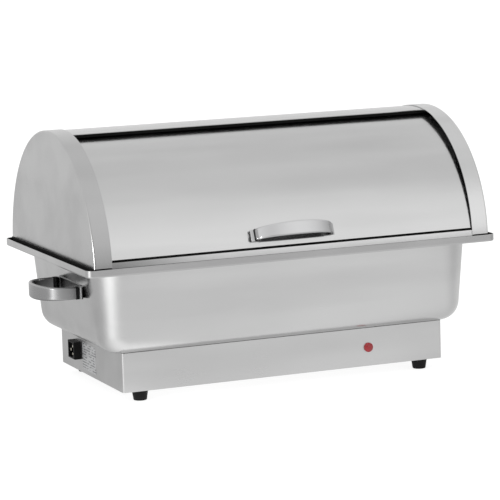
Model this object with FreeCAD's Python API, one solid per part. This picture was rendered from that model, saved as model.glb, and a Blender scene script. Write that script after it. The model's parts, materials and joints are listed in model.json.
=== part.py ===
"""Electric roll-top chafing dish: a heated water bath with a lift-off roll-top lid frame.

+X is to the right along the length, +Y to the back, +Z up, in millimetres. Every piece is built
about the dome's middle plane (y = 0) with the floor at z = 0, then moved by origin_shift so that
the origin lies on the floor under the middle of the whole object.
"""
import FreeCAD, Part
import math
import os

V = FreeCAD.Vector
X_AXIS = V(1, 0, 0)
Y_AXIS = V(0, 1, 0)
Z_AXIS = V(0, 0, 1)
origin_shift = V(0, 13.43, 0)

# ---- driving dimensions ----
sheet = 1.0
foot_height = 14.0
base_length = 479.0
base_depth = 256.0
base_height = 54.0
base_corner = 3.0
rim_length = 603.0
rim_depth = 360.4
rim_corner = 10.0
rim_height = 10.0
pan_top_half_length = 280.4
pan_top_half_depth = 160.5
pan_top_corner = 53.0
pan_bottom_half_length = 266.9
pan_bottom_half_depth = 147.0
pan_bottom_corner = 29.2
pan_bottom_fillet = 27.6
lip_foot = 2.2
flange_height = 168.4
dome_radius = 178.4
dome_half_length = 291.1
band_width = 25.4
running_gap = 0.3

# ---- heights from the floor ----
base_bottom = foot_height
base_top = base_bottom + base_height
pan_bottom = base_top
flange_under = base_bottom + flange_height
trough_floor = flange_under + sheet
lip_top = flange_under + rim_height
dome_centre_z = base_bottom + 168.8
lid_bottom = trough_floor + 1.2

# ---- roll cover geometry, in the plane across the length ----
pivot_y = -18.0
pivot_z = trough_floor + 7.0
cover_centre_y = 5.1
cover_centre_z = dome_centre_z - 12.0
cover_radius = 182.5
cover_front_angle = 10.25
cover_back_angle = 86.5
cover_half_length = 284.9
rear_edge_angle = 79.5
rear_radius = dome_radius - sheet - 0.1
sill_top = 200.2

# ---- side and cover handles ----
side_handle_z = base_bottom + 135.3
side_handle_offset = 38.4
cover_handle_x = -6.2
cover_handle_angle = 14.8
cover_handle_lift = 22.0


# ---------------------------------------------------------------- general helpers
def rounded_rectangle(half_length, half_depth, radius, z):
    """Closed wire of a rounded rectangle centred on the Z axis."""
    a = half_length
    b = half_depth
    k = radius * (1 - math.sqrt(0.5))
    ends = [
        (V(-a + radius, -b, z), V(a - radius, -b, z), V(a - k, -b + k, z), V(a, -b + radius, z)),
        (V(a, -b + radius, z), V(a, b - radius, z), V(a - k, b - k, z), V(a - radius, b, z)),
        (V(a - radius, b, z), V(-a + radius, b, z), V(-a + k, b - k, z), V(-a, b - radius, z)),
        (V(-a, b - radius, z), V(-a, -b + radius, z), V(-a + k, -b + k, z), V(-a + radius, -b, z)),
    ]
    edges = []
    for start, stop, middle, corner in ends:
        edges.append(Part.LineSegment(start, stop).toShape())
        edges.append(Part.Arc(stop, middle, corner).toShape())
    return Part.Wire(edges)


def slab(half_length, half_depth, radius, z0, z1):
    """Upright prism on a rounded rectangle."""
    face = Part.Face(rounded_rectangle(half_length, half_depth, radius, z0))
    return face.extrude(V(0, 0, z1 - z0))


def box(low, high):
    """Box between two corners."""
    size = V(*high).sub(V(*low))
    return Part.makeBox(size.x, size.y, size.z, V(*low))


def rod(radius, start, length, axis):
    """Round bar from a point along an axis."""
    return Part.makeCylinder(radius, length, V(*start), axis)


def ring(outer, inner, start, length, axis):
    """Round tube from a point along an axis."""
    return rod(outer, start, length, axis).cut(rod(inner, start, length, axis))


def fillet_where(shape, radius, test):
    """Fillet every edge whose middle point passes the test."""
    edges = [e for e in shape.Edges if test(e.CenterOfMass)]
    return shape.makeFillet(radius, edges)


def arc_point(centre, radius, angle):
    """(y, z) at an angle measured up from the front horizontal."""
    a = math.radians(angle)
    return centre[0] - radius * math.cos(a), centre[1] + radius * math.sin(a)


def arc_sheet(centre, outer, inner, start, stop, x0, x1):
    """Curved sheet between two angles, extruded along X."""
    middle = (start + stop) / 2
    o = [V(x0, *arc_point(centre, outer, a)) for a in (start, middle, stop)]
    i = [V(x0, *arc_point(centre, inner, a)) for a in (start, middle, stop)]
    edges = [
        Part.Arc(o[0], o[1], o[2]).toShape(),
        Part.LineSegment(o[2], i[2]).toShape(),
        Part.Arc(i[2], i[1], i[0]).toShape(),
        Part.LineSegment(i[0], o[0]).toShape(),
    ]
    return Part.Face(Part.Wire(edges)).extrude(V(x1 - x0, 0, 0))


def half_disc(radius, bottom, x0, x1):
    """Half disc about the dome's axis, cut level at the bottom."""
    rise = bottom - dome_centre_z
    reach = math.sqrt(radius**2 - rise**2)
    start = V(x0, -reach, bottom)
    stop = V(x0, reach, bottom)
    edges = [
        Part.Arc(start, V(x0, 0, dome_centre_z + radius), stop).toShape(),
        Part.LineSegment(stop, start).toShape(),
    ]
    return Part.Face(Part.Wire(edges)).extrude(V(x1 - x0, 0, 0))


def bent_tube(points, bend, radius):
    """Round tube along straight runs joined by tangent arcs."""
    pts = [V(*p) for p in points]
    edges = []
    here = pts[0]
    for before, corner, after in zip(pts, pts[1:], pts[2:]):
        into = corner.sub(before).normalize()
        away = after.sub(corner).normalize()
        turn = into.getAngle(away)
        setback = bend * math.tan(turn / 2)
        start = corner.sub(into * setback)
        stop = corner.add(away * setback)
        inward = away.sub(into).normalize()
        centre = corner.add(inward * (bend / math.cos(turn / 2)))
        middle = centre.sub(inward * bend)
        edges.append(Part.LineSegment(here, start).toShape())
        edges.append(Part.Arc(start, middle, stop).toShape())
        here = stop
    edges.append(Part.LineSegment(here, pts[-1]).toShape())
    path = Part.Wire(edges)
    section = Part.Wire([Part.Circle(pts[0], pts[1].sub(pts[0]), radius).toShape()])
    return path.makePipeShell([section], True, True)


def both_sides(shape):
    """A shape and its mirror image across the middle of the length."""
    return [shape, shape.mirror(V(0, 0, 0), X_AXIS)]


def turned(shape, centre=V(0, 0, 0)):
    """A copy turned half a turn about the vertical."""
    copy = shape.copy()
    copy.rotate(centre, Z_AXIS, 180)
    return copy


parts = {}


def keep(name, shapes):
    """Move one node's solids to the object's frame and remember them."""
    solids = []
    for shape in shapes if isinstance(shapes, list) else [shapes]:
        for solid in shape.Solids:
            copy = solid.copy()
            copy.translate(origin_shift)
            solids.append(copy)
    parts[name] = solids[0] if len(solids) == 1 else Part.makeCompound(solids)


# ---------------------------------------------------------------- base
foot_x = 210.5
foot_top_radius = 11.3
foot_low_radius = 9.1
foot_y = 114.0
inlet_y = 58.0
inlet_z = base_bottom + 30.0
inlet_half_y = 13.5
inlet_half_z = 12.7
inlet_proud = 9.8
inlet_depth = 30.0
socket_half_y = 10.2
socket_half_z = 10.2
lamp_x = 125.4
lamp_z = base_bottom + 26.4
lamp_thread = 5.0
bottom_flange = 26.0
opening_half_length = 180.0
opening_half_depth = 90.0
opening_corner = 15.0
screw_hole = 2.2


def foot_places():
    return [(sx * foot_x, sy * foot_y) for sx in (-1, 1) for sy in (-1, 1)]


def plate_screw_places():
    long_side = [(x, sy * foot_y) for x in (-100, 0, 100) for sy in (-1, 1)]
    return long_side + [(sx * 225.0, 0.0) for sx in (-1, 1)]


def base_housing():
    """Folded sheet box with a bottom flange and an opening under the pan for the heater."""
    half_l = base_length / 2
    half_d = base_depth / 2
    outer = slab(half_l, half_d, base_corner, base_bottom, base_top)
    inner = slab(half_l - sheet, half_d - sheet, base_corner - sheet,
                 base_bottom + sheet, base_top - sheet)
    top_hole = slab(opening_half_length, opening_half_depth, opening_corner,
                    base_top - 2 * sheet, base_top + sheet)
    bottom_hole = slab(half_l - bottom_flange, half_d - bottom_flange, 6.0,
                       base_bottom - sheet, base_bottom + 2 * sheet)
    inlet_hole = box((-half_l - sheet, inlet_y - inlet_half_y, inlet_z - inlet_half_z),
                     (-half_l + 2 * sheet, inlet_y + inlet_half_y, inlet_z + inlet_half_z))
    lamp_hole = rod(lamp_thread + 0.1, (lamp_x, -half_d - sheet, lamp_z), 3 * sheet, Y_AXIS)
    shell = outer.cut(inner).cut(top_hole).cut(bottom_hole).cut(inlet_hole).cut(lamp_hole)
    for x, y in foot_places() + plate_screw_places():
        shell = shell.cut(rod(screw_hole, (x, y, base_bottom - sheet), 3 * sheet, Z_AXIS))
    return shell


def base_plate():
    """Bottom plate with two rows of cooling slots."""
    z0 = base_bottom + sheet
    plate = slab(base_length / 2 - 2.0, base_depth / 2 - 2.0, 3.0, z0, z0 + sheet)
    for i in range(8):
        for y in (-45.0, 45.0):
            x = -140.0 + 40.0 * i
            plate = plate.cut(box((x - 2.0, y - 18.0, z0 - sheet), (x + 2.0, y + 18.0, z0 + 2 * sheet)))
    for x, y in foot_places() + plate_screw_places():
        plate = plate.cut(rod(screw_hole, (x, y, z0 - sheet), 3 * sheet, Z_AXIS))
    return plate


def base_plate_screws():
    """Flat-headed screws from below through flange and plate."""
    shapes = []
    for x, y in plate_screw_places():
        head = Part.makeCone(3.6, 2.4, 1.6, V(x, y, base_bottom), V(0, 0, -1))
        shank = rod(screw_hole - 0.2, (x, y, base_bottom), 8.0, Z_AXIS)
        shapes.append(head.fuse(shank).removeSplitter())
    return shapes


def feet():
    """Tapered rubber feet with a screw recess underneath."""
    shapes = []
    for x, y in foot_places():
        foot = Part.makeCone(foot_low_radius, foot_top_radius, foot_height, V(x, y, 0), Z_AXIS)
        recess = rod(4.6, (x, y, -1), 9.0, Z_AXIS)
        bore = rod(screw_hole, (x, y, 0), foot_height + 1, Z_AXIS)
        foot = fillet_where(foot, 0.9, lambda c: c.z < 1e-3)
        shapes.append(foot.cut(recess).cut(bore))
    return shapes


def foot_screws():
    """Pan-headed screws that hold the feet."""
    shapes = []
    for x, y in foot_places():
        head = rod(4.0, (x, y, 5.2), 2.8, Z_AXIS)
        head = fillet_where(head, 0.8, lambda c: c.z < 5.3)
        cross = box((x - 1.9, y - 0.4, 5.0), (x + 1.9, y + 0.4, 6.4))
        cross = cross.fuse(box((x - 0.4, y - 1.9, 5.0), (x + 0.4, y + 1.9, 6.4)))
        shank = rod(screw_hole - 0.2, (x, y, 8.0), 14.0, Z_AXIS)
        shapes.append(head.cut(cross).fuse(shank).removeSplitter())
    return shapes


def hexagon_nut(across_flats, bore, height, x, y, z):
    """Hexagon nut lying flat."""
    radius = across_flats / math.sqrt(3)
    corners = []
    for k in range(7):
        a = math.radians(60 * k)
        corners.append(V(x + radius * math.cos(a), y + radius * math.sin(a), z))
    prism = Part.Face(Part.makePolygon(corners)).extrude(V(0, 0, height))
    return prism.cut(rod(bore, (x, y, z - 1), height + 2, Z_AXIS))


def foot_nuts():
    z = base_bottom + 2 * sheet
    return [hexagon_nut(7.0, screw_hole - 0.2, 3.2, x, y, z) for x, y in foot_places()]


def power_inlet_body():
    """Appliance inlet standing proud of the left wall, with a recess for the plug."""
    x_out = -base_length / 2 - inlet_proud
    x_in = -base_length / 2 + inlet_depth
    body = box((x_out, inlet_y - inlet_half_y + 0.2, inlet_z - inlet_half_z + 0.2),
               (x_in, inlet_y + inlet_half_y - 0.2, inlet_z + inlet_half_z - 0.2))
    body = fillet_where(body, 1.2, lambda c: c.x < x_out + 1e-3)
    recess = slab_x(socket_half_y, socket_half_z, x_out - 1, x_out + 17.0)
    wedge = [V(0, 0, 0), V(0, 5.0, 0), V(0, 0, 5.0), V(0, 0, 0)]
    corner = Part.Face(Part.makePolygon(wedge)).extrude(V(18.0, 0, 0))
    low = corner.copy()
    low.translate(V(x_out - 1, inlet_y - socket_half_y, inlet_z - socket_half_z))
    high = corner.mirror(V(0, 0, 0), Z_AXIS)
    high.translate(V(x_out - 1, inlet_y - socket_half_y, inlet_z + socket_half_z))
    body = body.cut(recess.cut(low).cut(high))
    for y, z in inlet_pin_places():
        slot = box((x_out + 16.0, y - 0.9, z - 1.9), (x_in + 1, y + 0.9, z + 1.9))
        body = body.cut(slot)
    collar_x = -base_length / 2 + sheet
    collar = slab_x(inlet_half_y + 2.5, inlet_half_z + 2.5, collar_x, collar_x + 2.0)
    hole = slab_x(inlet_half_y - 1.0, inlet_half_z - 1.0, collar_x - 1, collar_x + 3.0)
    return body.fuse(collar.cut(hole)).removeSplitter()


def slab_x(half_y, half_z, x0, x1):
    """Box about the inlet's axis between two X planes."""
    return box((x0, inlet_y - half_y, inlet_z - half_z), (x1, inlet_y + half_y, inlet_z + half_z))


def inlet_pin_places():
    """(y, z) of the two line pins and the earth pin."""
    return [(inlet_y - 4.0, inlet_z - 5.5), (inlet_y + 3.5, inlet_z), (inlet_y - 4.0, inlet_z + 5.5)]


def power_inlet_pins():
    """Flat blades from the recess to the tabs inside the base."""
    x_out = -base_length / 2 - inlet_proud
    x_in = -base_length / 2 + inlet_depth
    shapes = []
    for y, z in inlet_pin_places():
        blade = box((x_out + 1.0, y - 0.85, z - 1.85), (x_in + 9.0, y + 0.85, z + 1.85))
        shapes.append(fillet_where(blade, 0.6, lambda c: c.x < x_out + 1.001))
    return shapes


def rating_plate():
    """Blank foil plate beside the inlet."""
    x = -base_length / 2
    return box((x - 0.4, -19.0, base_bottom + 6.0), (x, 36.0, base_bottom + 44.0))


def indicator_lens():
    """Domed red lens with its threaded tail."""
    y = -base_depth / 2
    rim = rod(6.6, (lamp_x, y - 1.6, lamp_z), 1.6, Y_AXIS)
    dome = Part.makeSphere(9.0, V(lamp_x, y - 1.6 + 7.2, lamp_z))
    cap = dome.common(rod(5.5, (lamp_x, y - 4.0, lamp_z), 2.5, Y_AXIS))
    tail = rod(lamp_thread, (lamp_x, y, lamp_z), 14.0, Y_AXIS)
    return rim.fuse(cap).fuse(tail).removeSplitter()


def indicator_body():
    """Lamp body with two tabs behind the lens."""
    y = -base_depth / 2 + 14.0
    body = rod(4.6, (lamp_x, y, lamp_z), 12.0, Y_AXIS)
    for dx in (-2.2, 2.2):
        tab = box((lamp_x + dx - 0.4, y + 12.0, lamp_z - 2.4), (lamp_x + dx + 0.4, y + 20.0, lamp_z + 2.4))
        body = body.fuse(tab)
    return body


def indicator_nut():
    """Nut that clamps the lens to the front wall."""
    y = -base_depth / 2 + sheet
    corners = []
    for k in range(7):
        a = math.radians(60 * k)
        corners.append(V(lamp_x + 8.0 * math.cos(a), y, lamp_z + 8.0 * math.sin(a)))
    prism = Part.Face(Part.makePolygon(corners)).extrude(V(0, 3.0, 0))
    return prism.cut(rod(lamp_thread, (lamp_x, y - 1, lamp_z), 6.0, Y_AXIS))


# ---------------------------------------------------------------- water pan
def pan_form(inset, bottom, top_extra):
    """Tapered tub with rounded corners and a large bottom fillet."""
    low = rounded_rectangle(pan_bottom_half_length - inset, pan_bottom_half_depth - inset,
                            pan_bottom_corner - inset, bottom)
    high = rounded_rectangle(pan_top_half_length - inset, pan_top_half_depth - inset,
                             pan_top_corner - inset, flange_under + top_extra)
    form = Part.makeLoft([low, high], True, True)
    return fillet_where(form, pan_bottom_fillet - inset, lambda c: c.z < bottom + 1e-3)


def water_pan():
    """Drawn tub without its rim."""
    body = pan_form(0, pan_bottom, 0.0).cut(pan_form(sheet, pan_bottom + sheet, 2 * sheet))
    for hole in handle_screw_holes():
        body = body.cut(hole)
    return body.removeSplitter()


def rim_form():
    """Shallow trough round the tub's mouth, closed over the mouth."""
    half_l = rim_length / 2
    half_d = rim_depth / 2
    rim = slab(half_l, half_d, rim_corner, flange_under, lip_top)
    rim = fillet_where(rim, 2.0, lambda c: c.z < flange_under + 1e-3)
    trough = slab(half_l - sheet, half_d - sheet, rim_corner - sheet, trough_floor, lip_top + sheet)
    trough = fillet_where(trough, 1.2, lambda c: c.z < trough_floor + 1e-3)
    return rim.cut(trough)


def inside_lip():
    """Prism that parts the flange from the folded lip."""
    return slab(rim_length / 2 - lip_foot, rim_depth / 2 - lip_foot, rim_corner - lip_foot,
                flange_under - sheet, lip_top + sheet)


def pan_flange():
    """Flat flange welded round the tub's mouth; the lid frame and the food pan stand on it."""
    return rim_form().common(inside_lip()).cut(pan_form(sheet, pan_bottom + sheet, 2 * sheet))


def rim_lip():
    """Lip folded up round the flange."""
    return rim_form().cut(inside_lip())


# ---------------------------------------------------------------- heater under the pan
stud_x = 60.0
stud_y = 60.0
heater_thickness = 6.0
element_radius = 4.0
clamp_thickness = 2.0
shield_z = base_bottom + 14.0


def stud_places():
    return [(sx * stud_x, sy * stud_y) for sx in (-1, 1) for sy in (-1, 1)]


def pan_studs():
    """Studs welded under the pan."""
    return [rod(2.5, (x, y, shield_z - 8.0), pan_bottom - shield_z + 8.0, Z_AXIS) for x, y in stud_places()]


def heater_plate():
    """Aluminium plate pressed against the pan, with grooves for the element."""
    z0 = pan_bottom - heater_thickness
    plate = slab(110.0, 52.0, 8.0, z0, pan_bottom)
    return plate.cut(heating_element())


def heating_element():
    """Tubular element bent into a long U, with a cap on each cold end."""
    z = pan_bottom - heater_thickness
    y = 36.0
    points = [(-140.0, -y, z), (96.0, -y, z), (96.0, y, z), (-98.0, y, z)]
    loop = bent_tube(points, 14.0, element_radius)
    for x, side in ((-140.0, -y), (-98.0, y)):
        loop = loop.fuse(rod(5.0, (x - 16.0, side, z), 16.0, X_AXIS))
    return loop.removeSplitter()


def heater_clamps():
    """Pressed bars that hold the element and the plate against the pan."""
    shapes = []
    z1 = pan_bottom - heater_thickness - element_radius
    for x in (-stud_x, stud_x):
        bar = box((x - 8.0, -stud_y - 9.0, z1 - clamp_thickness), (x + 8.0, stud_y + 9.0, z1))
        for sy in (-1, 1):
            bar = bar.cut(rod(2.6, (x, sy * stud_y, z1 - 4.0), 6.0, Z_AXIS))
        shapes.append(bar)
    return shapes


def stud_nuts():
    """Two nuts on each stud: one under the clamp, one under the heat shield."""
    shapes = []
    clamp_under = pan_bottom - heater_thickness - element_radius - clamp_thickness
    for x, y in stud_places():
        shapes.append(hexagon_nut(8.0, 2.5, 4.0, x, y, clamp_under - 4.0))
        shapes.append(hexagon_nut(8.0, 2.5, 4.0, x, y, shield_z - 4.0))
    return shapes


def heat_shield():
    """Shallow tray that keeps the heat off the base plate."""
    outer = slab(165.0, 80.0, 10.0, shield_z, shield_z + 16.0)
    inner = slab(164.2, 79.2, 9.2, shield_z + 0.8, shield_z + 17.0)
    tray = outer.cut(inner)
    for x, y in stud_places():
        tray = tray.cut(rod(2.6, (x, y, shield_z - 1), 3.0, Z_AXIS))
    return tray


def insulation_board():
    """Mineral wool board in the heat shield."""
    board = slab(163.0, 78.0, 8.0, shield_z + 0.8, shield_z + 13.0)
    for x, y in stud_places():
        board = board.cut(rod(5.5, (x, y, shield_z), 16.0, Z_AXIS))
    return board


def disc_switch(x, y):
    """Round bimetal switch with two tabs, pressed against the heater plate."""
    z1 = pan_bottom - heater_thickness
    body = rod(8.0, (x, y, z1 - 7.0), 7.0, Z_AXIS).fuse(rod(6.5, (x, y, z1 - 11.0), 4.0, Z_AXIS))
    for dy in (-switch_offset, switch_offset):
        body = body.fuse(box((x - 3.0, y + dy - 0.4, z1 - 17.0), (x + 3.0, y + dy + 0.4, z1 - 11.0)))
    return body.removeSplitter()


block_x = -184.0
block_length = 24.0
block_ys = (28.0, 41.0, 54.0)
block_low = base_bottom + 2 * sheet + 4.5
block_high = base_bottom + 2 * sheet + 12.0
wire_radius = 1.3
switch_offset = 3.5
switch_x = 40.0
switch_y = 12.0


def terminal_block():
    """Ceramic three-way block on the base plate."""
    z0 = base_bottom + 2 * sheet
    block = box((block_x - block_length, 20.0, z0), (block_x, 62.0, z0 + 16.0))
    for y in block_ys:
        for z in (block_low, block_high):
            block = block.cut(rod(2.0, (block_x - 26.0, y, z), 28.0, X_AXIS))
    return block


def wire_harness():
    """Insulated leads between the inlet, the block, the two switches, the element and the lamp."""
    x_tab = -base_length / 2 + inlet_depth + 9.0
    z_tab = pan_bottom - heater_thickness - 14.0
    z_end = pan_bottom - heater_thickness
    lamp_y = -base_depth / 2 + 32.0
    routes = []
    for i, (y, z) in enumerate(inlet_pin_places()):
        x = block_x + 8.0 + 3.5 * i
        end = block_ys[2 - i]
        routes.append([(x_tab, y, z), (x, y, z), (x, end, block_low), (block_x, end, block_low)])
    for i, dx in enumerate((-2.2, 2.2)):
        x = block_x - 32.0 - 5.0 * i
        y = lamp_y + 5.0 - 9.0 * i
        start = block_ys[i]
        routes.append([(block_x - block_length, start, block_low), (x, start, block_low),
                       (x, y, block_low), (lamp_x + dx, y, block_low),
                       (lamp_x + dx, lamp_y, lamp_z - 9.0), (lamp_x + dx, lamp_y, lamp_z - 2.4)])
    low = switch_y - switch_offset
    high = switch_y + switch_offset
    routes.append([(3.0 - switch_x, low, z_tab), (switch_x - 3.0, low, z_tab)])
    routes.append([(-3.0 - switch_x, high, z_tab), (-126.0, high, z_tab), (-126.0, 36.0, z_end),
                   (-114.0, 36.0, z_end)])
    routes.append([(-156.0, -36.0, z_end), (-170.0, -36.0, z_end), (-170.0, -36.0, block_high),
                   (-170.0, block_ys[0], block_high), (block_x, block_ys[0], block_high)])
    routes.append([(switch_x + 3.0, high, z_tab), (72.0, high, z_tab), (72.0, 72.0, z_tab),
                   (-140.0, 72.0, z_tab), (-140.0, block_ys[1], z_tab),
                   (block_x + 4.5, block_ys[1], z_tab), (block_x + 4.5, block_ys[1], block_high),
                   (block_x, block_ys[1], block_high)])
    return [bent_tube(route, 3.0, wire_radius) for route in routes]


# ---------------------------------------------------------------- handles
def curved_band(outer, inner, half_height):
    """Prism along z between two splines given as (x, y) points."""
    edges = []
    for curve in (outer, inner):
        spline = Part.BSplineCurve()
        spline.interpolate([V(x, y, -half_height) for x, y in curve])
        edges.append(spline.toShape())
    for end in (0, -1):
        start = V(*outer[end], -half_height)
        stop = V(*inner[end], -half_height)
        edges.append(Part.LineSegment(start, stop).toShape())
    face = Part.Face(Part.Wire(Part.__sortEdges__(edges)))
    return face.extrude(V(0, 0, 2 * half_height))


def barrel(half_length, end_height, middle_height, y0, y1):
    """Prism along y, taller in the middle than at its two ends."""
    a = half_length
    e = end_height / 2
    m = middle_height / 2
    edges = [
        Part.Arc(V(-a, y0, e), V(0, y0, m), V(a, y0, e)).toShape(),
        Part.LineSegment(V(a, y0, e), V(a, y0, -e)).toShape(),
        Part.Arc(V(a, y0, -e), V(0, y0, -m), V(-a, y0, -e)).toShape(),
        Part.LineSegment(V(-a, y0, -e), V(-a, y0, e)).toShape(),
    ]
    return Part.Face(Part.Wire(edges)).extrude(V(0, y1 - y0, 0))


def bow_handle(half_wall, neck, reach, end_height, middle_height, fullness):
    """Bracket, grip and ferrules of one bow handle.

    Local frame: x along the wall, y out of the wall, z along the band's height. The bracket lies
    on the wall and turns outward at both ends; the grip is a bowed band between the ferrules.
    A lower fullness makes the bow squarer. The root of the plate is trimmed to the wall later.
    """
    plate = 3.0
    root = 2.0
    band = 5.0
    turn = 14.0
    collar = 3.5
    proud = 0.4
    half_neck = half_wall - 4.0
    rise = neck - collar
    mean_height = (end_height + middle_height) / 2
    outer = []
    inner = []
    steps = 12
    for k in range(steps + 1):
        angle = math.pi * k / steps
        bow = math.sin(angle) ** fullness
        outer.append((half_neck * math.cos(angle), neck + (reach - neck) * bow))
        inner.append(((half_neck - band) * math.cos(angle), neck + (reach - neck - band) * bow))
    grip = curved_band(outer, inner, middle_height)
    grip = grip.common(barrel(half_neck + 0.5, end_height, middle_height, 0.0, reach + 1.0))
    grip = fillet_where(grip, 2.0, lambda c: c.y > neck + 2.0 and abs(c.z) > end_height / 2 - 0.5)
    bracket = barrel(half_wall - turn + 1.0, end_height + 1.0, mean_height, -root, plate)
    ferrules = []
    for side in (-1, 1):
        out_curve = [(side * (half_wall - turn), 0.0), (side * (half_wall - 3.0), 2.2),
                     (side * (half_wall + 0.5), 0.55 * rise + 0.5), (side * half_neck, rise)]
        in_curve = [(side * (half_wall - turn), plate), (side * (half_wall - 7.0), 5.2),
                    (side * (half_wall - 5.0), 0.55 * rise + 1.5), (side * (half_neck - band), rise)]
        bracket = bracket.fuse(curved_band(out_curve, in_curve, end_height / 2))
        middle = side * (half_neck - band / 2)
        half_band = band / 2 + proud
        height = end_height / 2 + proud
        ferrule = box((middle - half_band, rise, -height), (middle + half_band, neck, height))
        ferrules.append(fillet_where(ferrule, 0.8, lambda c: abs(c.y - rise - collar / 2) < 1e-3))
    return bracket.removeSplitter(), grip, ferrules


def placed(shape, x_dir, y_dir, origin):
    """Move a local shape so that its x and y follow the given directions."""
    z_dir = x_dir.cross(y_dir)
    matrix = FreeCAD.Matrix(x_dir.x, y_dir.x, z_dir.x, origin.x,
                            x_dir.y, y_dir.y, z_dir.y, origin.y,
                            x_dir.z, y_dir.z, z_dir.z, origin.z, 0, 0, 0, 1)
    return shape.transformed(matrix, True)


side_screw_x = 30.0
cover_screw_x = 36.0
taper = (pan_top_half_length - pan_bottom_half_length) / (flange_under - pan_bottom)


def pan_wall_x(z):
    """Outer half length of the pan at a height."""
    return pan_top_half_length - (flange_under - z) * taper


def side_handle_left():
    """Handle on the left wall, ahead of the middle. It stands out level; the wall leans a little."""
    bracket, grip, ferrules = bow_handle(55.0, 11.5, 57.8, 16.4, 20.5, 0.66)
    wall_x = pan_wall_x(side_handle_z)
    out = V(-1, 0, 0)
    along = V(0, -1, 0)
    origin = V(-wall_x + 0.5, -side_handle_offset, side_handle_z)

    def move(shape):
        return placed(shape, along, out, origin)

    screws = []
    holes = []
    for x in (-side_screw_x, side_screw_x):
        head = rod(4.0, (x, -sheet - 3.2, 0), 2.4, Y_AXIS)
        shank = rod(2.0, (x, -sheet - 1.0, 0), sheet + 3.4, Y_AXIS)
        screws.append(move(head.fuse(shank).removeSplitter()))
        holes.append(move(rod(2.0, (x, -6.0, 0), 8.4, Y_AXIS)))
    bracket = move(bracket).cut(wall_block(side_handle_z - 30.0, side_handle_z + 30.0))
    for hole in holes:
        bracket = bracket.cut(hole)
    return bracket, move(grip), [move(f) for f in ferrules], screws, holes


def wall_block(z0, z1):
    """Solid bounded by the pan's leaning left wall, for fitting a bracket to it."""
    outline = [(-pan_wall_x(z0), z0), (-pan_wall_x(z1), z1), (-200.0, z1), (-200.0, z0)]
    points = [V(x, -150.0, z) for x, z in outline + outline[:1]]
    return Part.Face(Part.makePolygon(points)).extrude(V(0, 300.0, 0))


def handle_screw_holes():
    holes = side_handle_left()[4]
    return holes + [turned(h) for h in holes]


# ---------------------------------------------------------------- food pan
food_rim_z = trough_floor + 0.4
food_depth = 65.0


def food_pan():
    """Full-size food pan that hangs by its rim on the long sides of the trough."""
    wall = 0.8
    z1 = food_rim_z + wall
    z0 = z1 - food_depth

    def form(inset, bottom, top):
        low = rounded_rectangle(244.0 - inset, 142.0 - inset, 34.0 - inset, bottom)
        high = rounded_rectangle(254.0 - inset, 152.0 - inset, 40.0 - inset, top)
        solid = Part.makeLoft([low, high], True, True)
        return fillet_where(solid, 14.0 - inset, lambda c: c.z < bottom + 1e-3)

    rim = slab(265.0, 162.5, 46.0, food_rim_z, z1)
    tub = form(0, z0, z1)
    hollow = form(wall, z0 + wall, z1 + wall)
    return rim.fuse(tub).cut(hollow).removeSplitter()


# ---------------------------------------------------------------- lid frame
dome_centre = (0.0, dome_centre_z)
cover_inset = 3.2
gasket_wall = 1.2
gasket_lap = 10.6


def end_cap_left():
    """Half-round end plate with a band turned in round its edge."""
    x0 = -dome_half_length
    x1 = x0 + band_width
    outer = half_disc(dome_radius, lid_bottom, x0, x1)
    outer = fillet_where(outer, 3.0, lambda c: c.x < x0 + 1e-3 and c.z > lid_bottom + 1.0)
    inner = half_disc(dome_radius - sheet, lid_bottom - sheet, x0 + sheet, x1 + sheet)
    inner = fillet_where(inner, 2.0, lambda c: c.x < x0 + sheet + 1e-3 and c.z > lid_bottom + 1.0)
    cap = outer.cut(inner)
    foot_reach = math.sqrt((dome_radius - 6.0)**2 - (lid_bottom - dome_centre_z)**2)
    flange = box((x0 + sheet, -foot_reach, lid_bottom), (x0 + 5.5, foot_reach, lid_bottom + sheet))
    stud_hole = rod(3.0, (x0 - 1, pivot_y, pivot_z), 4.0, X_AXIS)
    return cap.fuse(flange).cut(stud_hole).removeSplitter()


def rear_cover():
    """Fixed rear quarter of the dome, welded under both bands."""
    half = dome_half_length - cover_inset
    stop = 180.0 - math.degrees(math.asin((lid_bottom - dome_centre_z) / (rear_radius - sheet)))
    return arc_sheet(dome_centre, rear_radius, rear_radius - sheet, rear_edge_angle, stop, -half, half)


def front_sill():
    """Upright strip between the caps that the roll cover closes on, folded in along its top."""
    half = dome_half_length - cover_inset
    start = math.degrees(math.asin((lid_bottom - dome_centre_z) / (rear_radius - sheet)))
    stop = math.degrees(math.asin((sill_top - dome_centre_z) / rear_radius))
    strip = arc_sheet(dome_centre, rear_radius, rear_radius - sheet, start, stop, -half, half)
    y0 = arc_point(dome_centre, rear_radius - 0.2, stop)[0]
    fold = box((-half, y0, sill_top - sheet), (half, y0 + 12.0, sill_top))
    return strip.fuse(fold).removeSplitter()


def lid_gasket():
    """Silicone strip round the foot of the lid frame, lapped up outside the end plates and the sill."""
    z0 = trough_floor + running_gap
    lap_top = trough_floor + gasket_lap
    base = slab(dome_half_length + gasket_wall, dome_radius - 0.6, 1.5, z0, lid_bottom)
    hole = slab(dome_half_length - 5.0, dome_radius - 4.0, 1.0, z0 - 1, lid_bottom + 1)
    gasket = base.cut(hole)
    end_lap = box((-dome_half_length - gasket_wall, -dome_radius + 2.0, lid_bottom),
                  (-dome_half_length, dome_radius - 2.0, lap_top))
    for lap in both_sides(end_lap):
        gasket = gasket.fuse(lap)
    long_lap_end = dome_half_length - band_width - 0.3
    front_lap = box((-long_lap_end, -dome_radius - 0.1, lid_bottom),
                    (long_lap_end, -dome_radius + 3.0, lap_top - 2.6))
    front_lap = front_lap.cut(half_disc(rear_radius, lid_bottom - 1, -long_lap_end - 1, long_lap_end + 1))
    for lap in (front_lap, turned(front_lap)):
        gasket = gasket.fuse(lap)
    return gasket.removeSplitter()


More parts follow.
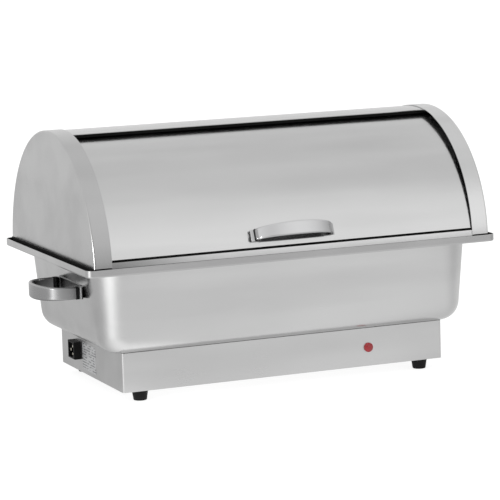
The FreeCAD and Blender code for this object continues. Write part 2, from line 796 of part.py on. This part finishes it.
def front_bumper():
    """Silicone strip on the sill that the cover's lower edge closes against."""
    y0 = -rear_radius + 2.2
    strip = box((-282.0, y0, sill_top), (282.0, y0 + 6.0, sill_top + 1.0))
    return fillet_where(strip, 0.5, lambda c: c.z > sill_top + 0.9 and abs(c.x) < 1)


def rear_edge_seal():
    """Silicone strip under the rear cover's front edge."""
    inner = rear_radius - sheet
    start = rear_edge_angle + 0.1
    return arc_sheet(dome_centre, inner, inner - 4.4, start, start + 1.0, -284.0, 284.0)


def pivot_studs():
    """Studs riveted into the end plates that the cover arms turn on."""
    x0 = -dome_half_length
    stud = rod(3.0, (x0 + 0.05, pivot_y, pivot_z), 15.0, X_AXIS)
    return both_sides(stud)


def pivot_spacers():
    """Plastic sleeves that hold the arms off the end plates."""
    x0 = -dome_half_length + sheet
    return both_sides(ring(4.6, 3.0, (x0, pivot_y, pivot_z), 4.8, X_AXIS))


def pivot_nuts():
    """Domed nuts on the inner ends of the studs."""
    x0 = -cover_half_length + 3.4
    body = rod(5.5, (x0, pivot_y, pivot_z), 4.0, X_AXIS)
    dome = Part.makeSphere(5.0, V(x0 + 4.0, pivot_y, pivot_z))
    nut = body.fuse(dome.common(rod(5.0, (x0 + 4.0, pivot_y, pivot_z), 6.0, X_AXIS)))
    return both_sides(nut.cut(rod(3.0, (x0 - 1, pivot_y, pivot_z), 7.0, X_AXIS)))


# ---------------------------------------------------------------- roll cover
cover_centre = (cover_centre_y, cover_centre_z)


def roll_cover():
    """Curved front cover with a stiffening lip along its lower edge."""
    skin = arc_sheet(cover_centre, cover_radius, cover_radius - sheet, cover_front_angle,
                     cover_back_angle, -cover_half_length, cover_half_length)
    lip = arc_sheet(cover_centre, cover_radius - sheet, cover_radius - 8.0, cover_front_angle,
                    cover_front_angle + 0.32, -cover_half_length + 1.4, cover_half_length - 1.4)
    cover = skin.fuse(lip)
    for hole in cover_handle()[4]:
        cover = cover.cut(hole)
    return cover.removeSplitter()


def cover_arm_left():
    """Sector plate that carries the cover's left end and turns on the pivot stud."""
    x0 = -cover_half_length
    x1 = x0 + 1.2
    radius = cover_radius - sheet
    first = cover_front_angle + 0.4
    last = cover_back_angle - 0.1
    b = V(x0, *arc_point(cover_centre, radius, first))
    m = V(x0, *arc_point(cover_centre, radius, (first + last) / 2))
    t = V(x0, *arc_point(cover_centre, radius, last))
    hub_low = V(x0, pivot_y - 1.0, pivot_z - 5.9)
    hub_back = V(x0, pivot_y + 5.9, pivot_z)
    edges = [
        Part.LineSegment(hub_low, b).toShape(),
        Part.Arc(b, m, t).toShape(),
        Part.LineSegment(t, hub_back).toShape(),
        Part.LineSegment(hub_back, hub_low).toShape(),
    ]
    plate = Part.Face(Part.Wire(edges)).extrude(V(x1 - x0, 0, 0))
    hub = rod(6.0, (x0, pivot_y, pivot_z), x1 - x0, X_AXIS)
    bore = rod(4.0, (x0 - 1, pivot_y, pivot_z), 4.0, X_AXIS)
    return plate.fuse(hub).cut(bore).removeSplitter()


def pivot_bushes():
    """Plastic bushes pressed into the arms."""
    x0 = -cover_half_length
    sleeve = rod(4.0, (x0 - 0.1, pivot_y, pivot_z), 2.6, X_AXIS)
    collar = rod(5.6, (x0 + 1.2, pivot_y, pivot_z), 1.3, X_AXIS)
    bush = sleeve.fuse(collar).cut(rod(3.05, (x0 - 1, pivot_y, pivot_z), 6.0, X_AXIS))
    return both_sides(bush.removeSplitter())


def cover_handle():
    """Bow handle low on the cover."""
    lift = math.radians(cover_handle_lift)
    out = V(0, -math.cos(lift), math.sin(lift))
    y, z = arc_point(cover_centre, cover_radius - 0.6, cover_handle_angle)
    bracket, grip, ferrules = bow_handle(60.5, 11.5, 36.0, 15.6, 18.8, 1.15)

    def move(shape):
        return placed(shape, X_AXIS, out, V(cover_handle_x, y, z))

    holes = []
    nuts = []
    for x in (-cover_screw_x, cover_screw_x):
        holes.append(move(rod(2.0, (x, -8.0, 0), 10.4, Y_AXIS)))
        stud = rod(2.0, (x, -6.0, 0), 8.4, Y_AXIS)
        nut = rod(4.0, (x, -4.6, 0), 3.2, Y_AXIS)
        nuts.append(move(stud.fuse(nut).removeSplitter()))
    bracket = move(bracket)
    saddle = arc_sheet(cover_centre, cover_radius, cover_radius - 8.0, 0, 60, -80, 80)
    bracket = bracket.cut(saddle)
    for hole in holes:
        bracket = bracket.cut(hole)
    return bracket, move(grip), [move(f) for f in ferrules], nuts, holes


# ---------------------------------------------------------------- assembly
def build():
    keep("base_housing", base_housing())
    keep("base_plate", base_plate())
    keep("base_plate_screws", base_plate_screws())
    keep("feet", feet())
    keep("foot_screws", foot_screws())
    keep("foot_nuts", foot_nuts())
    keep("power_inlet_body", power_inlet_body())
    keep("power_inlet_pins", power_inlet_pins())
    keep("rating_plate", rating_plate())
    keep("indicator_lens", indicator_lens())
    keep("indicator_body", indicator_body())
    keep("indicator_nut", indicator_nut())
    keep("water_pan", water_pan())
    keep("pan_flange", pan_flange())
    keep("rim_lip", rim_lip())
    keep("pan_studs", pan_studs())
    keep("heater_plate", heater_plate())
    keep("heating_element", heating_element())
    keep("heater_clamps", heater_clamps())
    keep("stud_nuts", stud_nuts())
    keep("heat_shield", heat_shield())
    keep("insulation_board", insulation_board())
    keep("thermostat", disc_switch(-switch_x, switch_y))
    keep("thermal_cutout", disc_switch(switch_x, switch_y))
    keep("terminal_block", terminal_block())
    keep("wire_harness", wire_harness())
    bracket, grip, ferrules, screws, _ = side_handle_left()
    keep("side_handle_left_bracket", bracket)
    keep("side_handle_left_grip", grip)
    keep("side_handle_left_ferrules", ferrules)
    keep("side_handle_left_screws", screws)
    keep("side_handle_right_bracket", turned(bracket))
    keep("side_handle_right_grip", turned(grip))
    keep("side_handle_right_ferrules", [turned(f) for f in ferrules])
    keep("side_handle_right_screws", [turned(s) for s in screws])
    keep("food_pan", food_pan())
    cap = end_cap_left()
    keep("end_cap_left", cap)
    keep("end_cap_right", cap.mirror(V(0, 0, 0), X_AXIS))
    keep("rear_cover", rear_cover())
    keep("front_sill", front_sill())
    keep("lid_gasket", lid_gasket())
    keep("front_bumper", front_bumper())
    keep("rear_edge_seal", rear_edge_seal())
    keep("pivot_studs", pivot_studs())
    keep("pivot_spacers", pivot_spacers())
    keep("pivot_nuts", pivot_nuts())
    keep("roll_cover", roll_cover())
    arm = cover_arm_left()
    keep("cover_arm_left", arm)
    keep("cover_arm_right", arm.mirror(V(0, 0, 0), X_AXIS))
    keep("pivot_bushes", pivot_bushes())
    bracket, grip, ferrules, nuts, _ = cover_handle()
    keep("cover_handle_bracket", bracket)
    keep("cover_handle_grip", grip)
    keep("cover_handle_ferrules", ferrules)
    keep("cover_handle_nuts", nuts)


def export():
    os.makedirs("parts", exist_ok=True)
    whole = FreeCAD.BoundBox()
    for name, shape in parts.items():
        shape.exportStep("parts/" + name + ".step")
        whole.add(shape.optimalBoundingBox(False, False))
        print(name, len(shape.Solids), "solids", round(shape.Volume), "mm3", shape.isValid())
    print("overall", whole)


build()
export()
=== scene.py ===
import json
import math

import bmesh
import bpy
from mathutils import Matrix, Vector

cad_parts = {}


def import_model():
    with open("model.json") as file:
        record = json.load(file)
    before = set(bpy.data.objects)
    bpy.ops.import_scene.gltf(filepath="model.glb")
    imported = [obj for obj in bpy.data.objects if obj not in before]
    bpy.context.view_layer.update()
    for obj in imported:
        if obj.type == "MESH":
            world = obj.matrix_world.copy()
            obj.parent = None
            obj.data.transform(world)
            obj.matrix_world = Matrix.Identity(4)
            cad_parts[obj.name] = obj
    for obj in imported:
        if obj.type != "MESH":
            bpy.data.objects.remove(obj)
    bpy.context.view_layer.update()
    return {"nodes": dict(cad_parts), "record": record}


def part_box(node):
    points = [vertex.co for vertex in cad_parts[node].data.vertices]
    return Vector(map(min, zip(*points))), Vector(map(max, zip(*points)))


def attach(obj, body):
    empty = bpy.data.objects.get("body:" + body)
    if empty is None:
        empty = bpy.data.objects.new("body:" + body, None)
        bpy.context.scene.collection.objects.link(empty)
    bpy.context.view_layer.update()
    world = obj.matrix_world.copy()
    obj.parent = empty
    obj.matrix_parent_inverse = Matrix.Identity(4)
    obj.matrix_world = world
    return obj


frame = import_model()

MM = 0.001
nodes = frame["nodes"]


# ---------------------------------------------------------------- shader helpers
class Shader:
    """A material with a Principled BSDF and short ways to add nodes."""

    def __init__(self, name):
        self.material = bpy.data.materials.new(name)
        self.material.use_nodes = True
        self.tree = self.material.node_tree
        self.bsdf = self.tree.nodes["Principled BSDF"]

    def node(self, kind, **settings):
        made = self.tree.nodes.new(kind)
        for key, value in settings.items():
            setattr(made, key, value)
        return made

    def link(self, source, target):
        self.tree.links.new(source, target)

    def set(self, **values):
        for key, value in values.items():
            self.bsdf.inputs[key.replace("_", " ")].default_value = value
        return self

    def coordinates(self, scale):
        """Object coordinates in metres, scaled."""
        source = self.node("ShaderNodeTexCoord")
        mapping = self.node("ShaderNodeMapping")
        mapping.inputs["Scale"].default_value = scale
        self.link(source.outputs["Object"], mapping.inputs["Vector"])
        return mapping.outputs["Vector"]

    def component(self, source, axis):
        """One axis of the Object, Generated or Normal coordinate."""
        split = self.node("ShaderNodeSeparateXYZ")
        self.link(self.node("ShaderNodeTexCoord").outputs[source], split.inputs["Vector"])
        return split.outputs[axis]

    def noise(self, scale, detail=3.0, stretch=(1, 1, 1), roughness=0.55):
        made = self.node("ShaderNodeTexNoise")
        made.inputs["Scale"].default_value = scale
        made.inputs["Detail"].default_value = detail
        made.inputs["Roughness"].default_value = roughness
        self.link(self.coordinates(stretch), made.inputs["Vector"])
        return made.outputs["Fac"]

    def spread(self, value, low, high, from_low=0.3, from_high=0.7):
        """Map a texture value to a range."""
        made = self.node("ShaderNodeMapRange")
        made.inputs["From Min"].default_value = from_low
        made.inputs["From Max"].default_value = from_high
        made.inputs["To Min"].default_value = low
        made.inputs["To Max"].default_value = high
        self.link(value, made.inputs["Value"])
        return made.outputs["Result"]

    def math(self, operation, a, b=0.0):
        made = self.node("ShaderNodeMath", operation=operation)
        for socket, value in zip(made.inputs, (a, b)):
            if isinstance(value, (int, float)):
                socket.default_value = value
            else:
                self.link(value, socket)
        return made.outputs["Value"]

    def colours(self, value, low, high):
        """Blend two colours by a 0 to 1 value."""
        made = self.node("ShaderNodeMix", data_type="RGBA")
        made.inputs["A"].default_value = (*low, 1)
        made.inputs["B"].default_value = (*high, 1)
        self.link(value, made.inputs["Factor"])
        return made.outputs["Result"]

    def tinted(self, level, tint):
        """Scale a tint by a 0 to 1 value."""
        return self.colours(level, (0.0, 0.0, 0.0), tint)

    def fade(self, axis, start, stop, low):
        """Rise from low to one across part of the object's own box."""
        made = self.node("ShaderNodeMapRange", interpolation_type="SMOOTHSTEP")
        limits = {"From Min": start, "From Max": stop, "To Min": low, "To Max": 1.0}
        for name, number in limits.items():
            made.inputs[name].default_value = number
        self.link(self.component("Generated", axis), made.inputs["Value"])
        return made.outputs["Result"]

    def bump(self, height, strength, distance):
        made = self.node("ShaderNodeBump")
        made.inputs["Strength"].default_value = strength
        made.inputs["Distance"].default_value = distance
        self.link(height, made.inputs["Height"])
        self.link(made.outputs["Normal"], self.bsdf.inputs["Normal"])


def steel(name, tint, rough, grain, grain_depth=0.1, wave=0.5, shade=None):
    """Stainless steel with fine grain lines along one axis, soft long bands and faint smudges.

    grain is the stretch of the noise: small along the lines, large across them. shade makes a
    field of painted shade that dims the tint over part of the piece.
    """
    smudge = 0.03
    s = Shader(name)
    fine = s.noise(900.0, 3.0, grain, 0.6)
    clouds = s.noise(9.0, 3.0)
    bands = s.noise(14.0, 2.0, (0.16, 1.2, 1.2), 0.45)
    tone = s.math("MULTIPLY", s.spread(bands, 0.90, 1.0, 0.36, 0.62), s.spread(clouds, 0.97, 1.0))
    if shade:
        tone = s.math("MULTIPLY", tone, shade(s))
    s.link(s.tinted(tone, tint), s.bsdf.inputs["Base Color"])
    soft = s.spread(clouds, rough - smudge, rough + smudge)
    s.link(s.math("ADD", soft, s.spread(fine, -0.015, 0.015)), s.bsdf.inputs["Roughness"])
    swell = s.math("MULTIPLY", bands, wave)
    s.bump(s.math("ADD", swell, s.math("MULTIPLY", fine, grain_depth * 0.02)), 0.6, 0.0012)
    s.set(Metallic=1.0)
    return s.material


def cap_shade(s):
    """Painted shade: dimmer towards the foot of an end cap's curved band, and a little on its flat
    plate.
    """
    plate = s.math("GREATER_THAN", s.math("ABSOLUTE", s.component("Normal", "X")), 0.6)
    return s.math("MAXIMUM", s.fade("Z", 0.05, 0.75, 0.66), s.math("MULTIPLY", plate, 0.94))


def sill_shade(s):
    """Painted shade: dimmer towards the sill's left end."""
    return s.fade("X", 0.0, 0.34, 0.40)


def chrome(name, tint, rough):
    """Polished steel with faint wipe marks, and painted shade: darker inside the bow, under its lower
    edge and on faces that turn down.
    """
    s = Shader(name)
    wipes = s.noise(60.0, 4.0, (1.0, 0.3, 1.0))
    s.link(s.spread(wipes, rough * 0.7, rough * 1.4), s.bsdf.inputs["Roughness"])
    # Painted shade: occlusion darkens the tint inside the bow and under its lower edge.
    shade = s.node("ShaderNodeAmbientOcclusion", samples=6)
    shade.inputs["Distance"].default_value = 0.06
    painted_occlusion_shade = s.spread(shade.outputs["AO"], 0.0, 1.0, 0.35, 0.95)
    # Painted light and shade: faces turned up are lighter, faces turned down darker.
    painted_top_light = s.spread(s.component("Normal", "Z"), 0.62, 1.0, -0.7, 0.45)
    tone = s.math("MULTIPLY", s.spread(painted_occlusion_shade, 0.30, 1.0, 0.0, 1.0), painted_top_light)
    s.link(s.tinted(tone, tint), s.bsdf.inputs["Base Color"])
    s.bump(wipes, 0.05, 0.00002)
    s.set(Metallic=1.0)
    return s.material


def plastic(name, dark, light, rough):
    """Moulded plastic or rubber with a spark-eroded grain and dusty tone changes."""
    s = Shader(name)
    cloud = s.noise(40.0, 4.0)
    grain = s.noise(1800.0, 2.0)
    s.link(s.colours(s.spread(cloud, 0, 1), dark, light), s.bsdf.inputs["Base Color"])
    s.link(s.spread(cloud, rough - 0.06, rough + 0.06), s.bsdf.inputs["Roughness"])
    s.bump(grain, 0.15, 0.00005)
    s.set(Specular_IOR_Level=0.12)
    return s.material


def lens_red():
    """Translucent red lens with moulded rings."""
    s = Shader("red_lens")
    cloud = s.noise(120.0, 2.0)
    s.link(s.colours(s.spread(cloud, 0, 1), (0.30, 0.003, 0.008), (0.44, 0.008, 0.018)),
           s.bsdf.inputs["Base Color"])
    s.link(s.spread(cloud, 0.12, 0.2), s.bsdf.inputs["Roughness"])
    s.bump(s.noise(500.0, 1.0), 0.1, 0.0001)
    s.set(Transmission_Weight=0.15, IOR=1.49, Coat_Weight=0.4, Coat_Roughness=0.08)
    return s.material


def mineral():
    """Pressed fibre board."""
    s = Shader("mineral_board")
    fibre = s.noise(300.0, 6.0, (1, 1, 3))
    s.link(s.colours(s.spread(fibre, 0, 1), (0.5, 0.45, 0.33), (0.78, 0.74, 0.62)),
           s.bsdf.inputs["Base Color"])
    s.link(s.spread(fibre, 0.85, 1.0), s.bsdf.inputs["Roughness"])
    s.bump(fibre, 0.6, 0.0004)
    return s.material


def cast_metal(name, tint, rough):
    """Plain metal with a fine mottled surface."""
    s = Shader(name)
    cloud = s.noise(90.0, 5.0)
    s.link(s.colours(s.spread(cloud, 0, 1), tuple(c * 0.82 for c in tint), tint),
           s.bsdf.inputs["Base Color"])
    s.link(s.spread(cloud, rough - 0.08, rough + 0.08), s.bsdf.inputs["Roughness"])
    s.bump(s.noise(1200.0), 0.2, 0.00003)
    s.set(Metallic=1.0)
    return s.material


def foil(name):
    """Blank rating foil: pale metal with rows of grey bars where print would be."""
    s = Shader(name)
    rows_per_metre = 270.0
    row = s.math("FRACT", s.math("MULTIPLY", s.component("Object", "Z"), rows_per_metre))
    bar = s.math("LESS_THAN", row, 0.45)
    gaps = s.math("GREATER_THAN", s.noise(55.0, 1.0, (1.0, 2.2, 5.0)), 0.47)
    clouds = s.noise(200.0, 2.0)
    ink = s.math("MULTIPLY", bar, gaps)
    s.link(s.colours(s.math("MULTIPLY", ink, 0.75), (0.56, 0.565, 0.57), (0.13, 0.13, 0.135)),
           s.bsdf.inputs["Base Color"])
    s.link(s.spread(clouds, 0.36, 0.46), s.bsdf.inputs["Roughness"])
    s.bump(clouds, 0.05, 0.00002)
    s.set(Metallic=0.6)
    return s.material


ALONG_X = (0.02, 1.0, 1.0)
ALONG_Z = (1.0, 1.0, 0.02)
STEEL = (0.56, 0.56, 0.56)
BRIGHT_STEEL = (0.625, 0.625, 0.625)

materials = {
    "lid_steel": steel("lid_steel", BRIGHT_STEEL, 0.21, ALONG_X, wave=1.6),
    # Lit and shaded copies of one end-cap steel: the left cap is tinted darker, with painted shade
    # towards its foot, and the right cap lighter, as painted light.
    "left_cap_steel_painted_shade": steel("left_cap_steel_painted_shade", STEEL, 0.24, ALONG_Z, shade=cap_shade),
    "right_cap_steel_painted_light": steel("right_cap_steel_painted_light", (0.68, 0.68, 0.68), 0.24, ALONG_Z),
    # Painted light and shade: the sill's steel is tinted lighter than the rest, and darker towards
    # its left end.
    "sill_steel_painted_light_and_shade": steel("sill_steel_painted_light_and_shade", (0.74, 0.74, 0.74), 0.16, ALONG_X, 0.08, shade=sill_shade),
    "rim_steel": steel("rim_steel", (0.54, 0.54, 0.54), 0.20, ALONG_X, 0.08),
    "satin_steel": steel("satin_steel", BRIGHT_STEEL, 0.23, ALONG_X, 0.08, wave=0.9),
    "base_steel": steel("base_steel", (0.60, 0.60, 0.60), 0.30, ALONG_X, 0.14, wave=0.3),
    "pan_steel": steel("pan_steel", BRIGHT_STEEL, 0.18, ALONG_X, wave=1.2),
    "polished_steel": chrome("polished_steel", (0.64, 0.64, 0.645), 0.15),
    # Painted shade: the side grips take a copy of the polished steel tinted much darker.
    "side_grip_steel_painted_shade": chrome("side_grip_steel_painted_shade", (0.40, 0.40, 0.403), 0.27),
    "zinc_hardware": cast_metal("zinc_hardware", (0.6, 0.6, 0.58), 0.34),
    "heater_aluminium": cast_metal("heater_aluminium", (0.76, 0.76, 0.77), 0.4),
    "element_sheath": cast_metal("element_sheath", (0.12, 0.11, 0.1), 0.6),
    "contact_brass": cast_metal("contact_brass", (0.75, 0.72, 0.62), 0.22),
    "foil_label": foil("foil_label"),
    "mineral_board": mineral(),
    "brown_plastic": plastic("brown_plastic", (0.05, 0.025, 0.015), (0.09, 0.045, 0.03), 0.45),
    "ceramic": plastic("ceramic", (0.78, 0.76, 0.7), (0.86, 0.85, 0.8), 0.2),
    "wire_sleeve": plastic("wire_sleeve", (0.7, 0.68, 0.62), (0.8, 0.79, 0.75), 0.55),
    "black_plastic": plastic("black_plastic", (0.003, 0.003, 0.003), (0.008, 0.008, 0.008), 0.5),
    "white_plastic": plastic("white_plastic", (0.7, 0.7, 0.67), (0.8, 0.8, 0.78), 0.4),
    "foot_rubber": plastic("foot_rubber", (0.004, 0.004, 0.004), (0.011, 0.011, 0.011), 0.55),
    "seal_rubber": plastic("seal_rubber", (0.002, 0.002, 0.002), (0.005, 0.005, 0.005), 0.65),
    "red_lens": lens_red(),
}

# Nodes with their own copy of a material; the end caps', sill's and side grips' copies carry painted
# light and shade in their tints.
OWN_FINISH_AND_PAINTED_LIGHT = {
    "end_cap_left": "left_cap_steel_painted_shade",
    "end_cap_right": "right_cap_steel_painted_light",
    "front_sill": "sill_steel_painted_light_and_shade",
    "rim_lip": "rim_steel",
    "side_handle_left_bracket": "side_grip_steel_painted_shade",
    "side_handle_left_grip": "side_grip_steel_painted_shade",
    "side_handle_right_bracket": "side_grip_steel_painted_shade",
    "side_handle_right_grip": "side_grip_steel_painted_shade",
}


def dress_cad_nodes():
    """Give every CAD node the material of its slot, or a copy of its own; the copies for the end
    caps, the sill and the side grips are tinted lighter or darker as painted light and shade.
    """
    for part in frame["record"]["subparts"]:
        mesh = nodes[part["node"]].data
        mesh.materials.clear()
        finish = OWN_FINISH_AND_PAINTED_LIGHT.get(part["node"], part["material_slot"])
        mesh.materials.append(materials[finish])


# ---------------------------------------------------------------- added pieces
# Cross-section of a black shadow-gap strip (painted shade) in mm: outward from the band, up from the
# rim's top.
STRIP_SECTION = ((0.28, -3.0), (0.28, 0.9), (0.22, 1.4), (0.0, 1.6),
                 (-0.31, 1.6), (-0.24, 0.0), (-0.10, -3.0))
STRIP_STEPS = 12
STRIP_INSET = 0.4 * MM
STRIP_END_HEIGHT = 0.75


def strip_mesh(name, start, stop, y, out):
    """Section carried along x from start to stop, lower at its two ends; out is the way it faces."""
    rim_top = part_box("rim_lip")[1].z
    form = bmesh.new()
    rings = []
    for step in range(STRIP_STEPS + 1):
        x = start + (stop - start) * step / STRIP_STEPS
        height = STRIP_END_HEIGHT if step in (0, STRIP_STEPS) else 1.0
        corners = [(x, y + out * o * MM, rim_top + h * height * MM) for o, h in STRIP_SECTION]
        rings.append([form.verts.new(corner) for corner in corners])
    count = len(STRIP_SECTION)
    for first, second in zip(rings, rings[1:]):
        for k in range(count):
            n = (k + 1) % count
            form.faces.new((first[k], first[n], second[n], second[k]))
    form.faces.new(rings[0])
    form.faces.new(rings[-1])
    bmesh.ops.recalc_face_normals(form, faces=form.faces)
    mesh = bpy.data.meshes.new(name)
    form.to_mesh(mesh)
    form.free()
    return mesh


def shadow_gap_strips():
    """Black strip of seal rubber under the foot of each end cap's curved band, front and back:
    painted shade, a dark piece put where the gap there lies in shadow.
    """
    for side in ("left", "right"):
        low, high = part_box(f"end_cap_{side}")
        for end, y, out in (("front", low.y, -1), ("back", high.y, 1)):
            name = f"shadow_gap_strip_{side}_{end}"
            mesh = strip_mesh(name, low.x + STRIP_INSET, high.x - STRIP_INSET, y, out)
            # Painted shade: near-black rubber stands in for the shadow in the gap under the band's
            # foot.
            mesh.materials.append(materials["seal_rubber"])
            strip = bpy.data.objects.new(name, mesh)
            bpy.context.scene.collection.objects.link(strip)
            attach(strip, "lid_frame")


# ---------------------------------------------------------------- studio
def shaping(tree):
    """Short ways to build value fields from directions and positions in one node tree."""
    def math_node(operation, a, b=0.0):
        made = tree.nodes.new("ShaderNodeMath")
        made.operation = operation
        for socket, value in zip(made.inputs, (a, b)):
            if isinstance(value, (int, float)):
                socket.default_value = value
            else:
                tree.links.new(value, socket)
        return made.outputs[0]

    def towards(vector, direction):
        """Cosine between a vector field and a direction."""
        made = tree.nodes.new("ShaderNodeVectorMath")
        made.operation = "DOT_PRODUCT"
        made.inputs[1].default_value = Vector(direction).normalized()
        tree.links.new(vector, made.inputs[0])
        return made.outputs["Value"]

    def lobe(vector, direction, power, strength):
        """Smooth bright or dim patch round a direction."""
        facing = math_node("MAXIMUM", towards(vector, direction), 0.0)
        return math_node("MULTIPLY", math_node("POWER", facing, power), strength)

    def ramp(value, from_low, from_high, low, high):
        made = tree.nodes.new("ShaderNodeMapRange")
        made.interpolation_type = "SMOOTHSTEP"
        for name, number in (("From Min", from_low), ("From Max", from_high)):
            made.inputs[name].default_value = number
        for name, number in (("To Min", low), ("To Max", high)):
            if isinstance(number, (int, float)):
                made.inputs[name].default_value = number
            else:
                tree.links.new(number, made.inputs[name])
        tree.links.new(value, made.inputs["Value"])
        return made.outputs["Result"]

    return math_node, towards, lobe, ramp


FLOOR_FRONT = (0.38, -0.92, 0.0)
FLOOR_LEFT = (-0.87, -0.50, 0.0)
FLOOR_RIGHT = (0.93, -0.36, 0.0)
FLOOR_RADIUS = 40.0
FLOOR_DROP = 0.4 * MM
FLOOR_GLOW = 0.84
FLOOR_MATTE = (0.32, 0.32, 0.32, 1.0)


def vector_math(tree, operation, vector):
    made = tree.nodes.new("ShaderNodeVectorMath")
    made.operation = operation
    tree.links.new(vector, made.inputs[0])
    return made


def floor_tone(tree):
    """Tone that the metal sees: light ahead, a bright patch to the left, a dim one to the right."""
    math_node, towards, lobe, ramp = shaping(tree)
    place = tree.nodes.new("ShaderNodeTexCoord").outputs["Object"]
    away = vector_math(tree, "LENGTH", place).outputs["Value"]
    heading = vector_math(tree, "NORMALIZE", place).outputs["Vector"]
    ahead = towards(heading, FLOOR_FRONT)
    near = ramp(ahead, -0.6, 0.6, 0.60, 0.93)
    far = ramp(ahead, -0.6, 0.6, 0.80, 0.70)
    level = ramp(away, 0.5, 1.5, near, far)
    reach = ramp(away, 0.4, 1.2, 0.4, 1.0)
    glint = math_node("MULTIPLY", lobe(heading, FLOOR_LEFT, 34.0, 1.15), reach)
    level = math_node("ADD", level, glint)
    return math_node("ADD", level, lobe(heading, FLOOR_RIGHT, 20.0, -0.14))


def floor_material():
    """Pale to the camera, with soft contact shadows; a field of tones to everything else."""
    material = bpy.data.materials.new("floor")
    material.use_nodes = True
    tree = material.node_tree
    tree.nodes.remove(tree.nodes["Principled BSDF"])
    seen = tree.nodes.new("ShaderNodeEmission")
    tree.links.new(floor_tone(tree), seen.inputs["Strength"])
    glow = tree.nodes.new("ShaderNodeEmission")
    glow.inputs["Strength"].default_value = FLOOR_GLOW
    matte = tree.nodes.new("ShaderNodeBsdfDiffuse")
    matte.inputs["Color"].default_value = FLOOR_MATTE
    pale = tree.nodes.new("ShaderNodeAddShader")
    tree.links.new(glow.outputs[0], pale.inputs[0])
    tree.links.new(matte.outputs[0], pale.inputs[1])
    path = tree.nodes.new("ShaderNodeLightPath")
    mix = tree.nodes.new("ShaderNodeMixShader")
    tree.links.new(path.outputs["Is Camera Ray"], mix.inputs[0])
    tree.links.new(seen.outputs[0], mix.inputs[1])
    tree.links.new(pale.outputs[0], mix.inputs[2])
    tree.links.new(mix.outputs[0], tree.nodes["Material Output"].inputs["Surface"])
    return material


def floor():
    """Wide round floor just under the feet."""
    mesh = bpy.data.meshes.new("floor")
    form = bmesh.new()
    bmesh.ops.create_circle(form, cap_ends=True, segments=96, radius=FLOOR_RADIUS)
    form.to_mesh(mesh)
    form.free()
    mesh.materials.append(floor_material())
    made = bpy.data.objects.new("floor", mesh)
    made.location.z = -FLOOR_DROP
    bpy.context.scene.collection.objects.link(made)


def from_compass(azimuth, elevation):
    """Unit vector from the object towards an azimuth and elevation in degrees; azimuth 0 is ahead."""
    a, e = math.radians(azimuth), math.radians(elevation)
    return Vector((math.sin(a) * math.cos(e), -math.cos(a) * math.cos(e), math.sin(e)))


OBJECT_MIDDLE = Vector((0, 0, 0.18))


def area_light(name, azimuth, elevation, distance, size, power):
    """Soft box aimed at the object, from a direction measured like the camera's."""
    data = bpy.data.lights.new(name, "AREA")
    data.shape = "RECTANGLE"
    data.size, data.size_y = size
    data.energy = power
    made = bpy.data.objects.new(name, data)
    back = from_compass(azimuth, elevation)
    made.location = OBJECT_MIDDLE + back * distance
    made.rotation_euler = back.to_track_quat("Z", "Y").to_euler()
    made.visible_camera = False
    bpy.context.scene.collection.objects.link(made)


# Brightness of the surround, and patches added to it: direction, power, strength.
SURROUND = 0.86
WORLD_LOBES = (
    ((0.40, -0.90, 0.20), 5.0, 0.26),
    ((0.25, 0.30, 0.92), 5.0, -0.09),
    ((0.38, 0.90, 0.30), 6.0, 0.02),
    ((-0.38, -0.91, 0.12), 24.0, -0.45),
    ((-1.0, -0.2, 0.1), 6.0, 0.15),
    ((1.0, 0.1, 0.0), 5.0, -0.30),
    ((0.37, 0.10, 0.90), 8.0, 0.06),
)


def world():
    """Studio surround, white to the camera.

    The metal sees it bright ahead and to the left, dimmer overhead, to the right and where the
    camera stands.
    """
    made = bpy.data.worlds.new("studio")
    bpy.context.scene.world = made
    made.use_nodes = True
    tree = made.node_tree
    background = tree.nodes["Background"]
    math_node, _, lobe, _ = shaping(tree)
    heading = tree.nodes.new("ShaderNodeTexCoord").outputs["Generated"]
    level = math_node("ADD", SURROUND, 0.0)
    for direction, power, strength in WORLD_LOBES:
        level = math_node("ADD", level, lobe(heading, direction, power, strength))
    path = tree.nodes.new("ShaderNodeLightPath")
    shown = math_node("MAXIMUM", path.outputs["Is Camera Ray"], level)
    tree.links.new(shown, background.inputs["Strength"])
    background.inputs["Color"].default_value = (1.0, 1.0, 1.0, 1.0)


def camera():
    """Long lens from the front left, a little above the object and tilted a little clockwise."""
    back = from_compass(-22.458, 8.667)
    roll = math.radians(-1.698)
    target = Vector((0.0019, 0.0085, 0.1725))
    distance = 3.6455
    data = bpy.data.cameras.new("camera")
    data.lens = 185.52
    data.sensor_width = 36.0
    data.clip_end = 200.0
    made = bpy.data.objects.new("camera", data)
    right = (-back).cross(Vector((0, 0, 1))).normalized()
    up = right.cross(-back)
    tilted_right = right * math.cos(roll) + up * math.sin(roll)
    tilted_up = up * math.cos(roll) - right * math.sin(roll)
    rows = [(tilted_right[i], tilted_up[i], back[i], 0) for i in range(3)]
    turn = Matrix((*rows, (0, 0, 0, 1)))
    made.matrix_world = Matrix.Translation(target + back * distance) @ turn
    bpy.context.scene.collection.objects.link(made)
    bpy.context.scene.camera = made


def studio():
    """Floor, surround, one soft light and the camera."""
    bpy.context.scene.view_settings.view_transform = "Standard"
    floor()
    world()
    area_light("corner_strip", azimuth=-66, elevation=4, distance=2.2, size=(0.30, 0.45), power=9.0)
    camera()


dress_cad_nodes()
shadow_gap_strips()
studio()
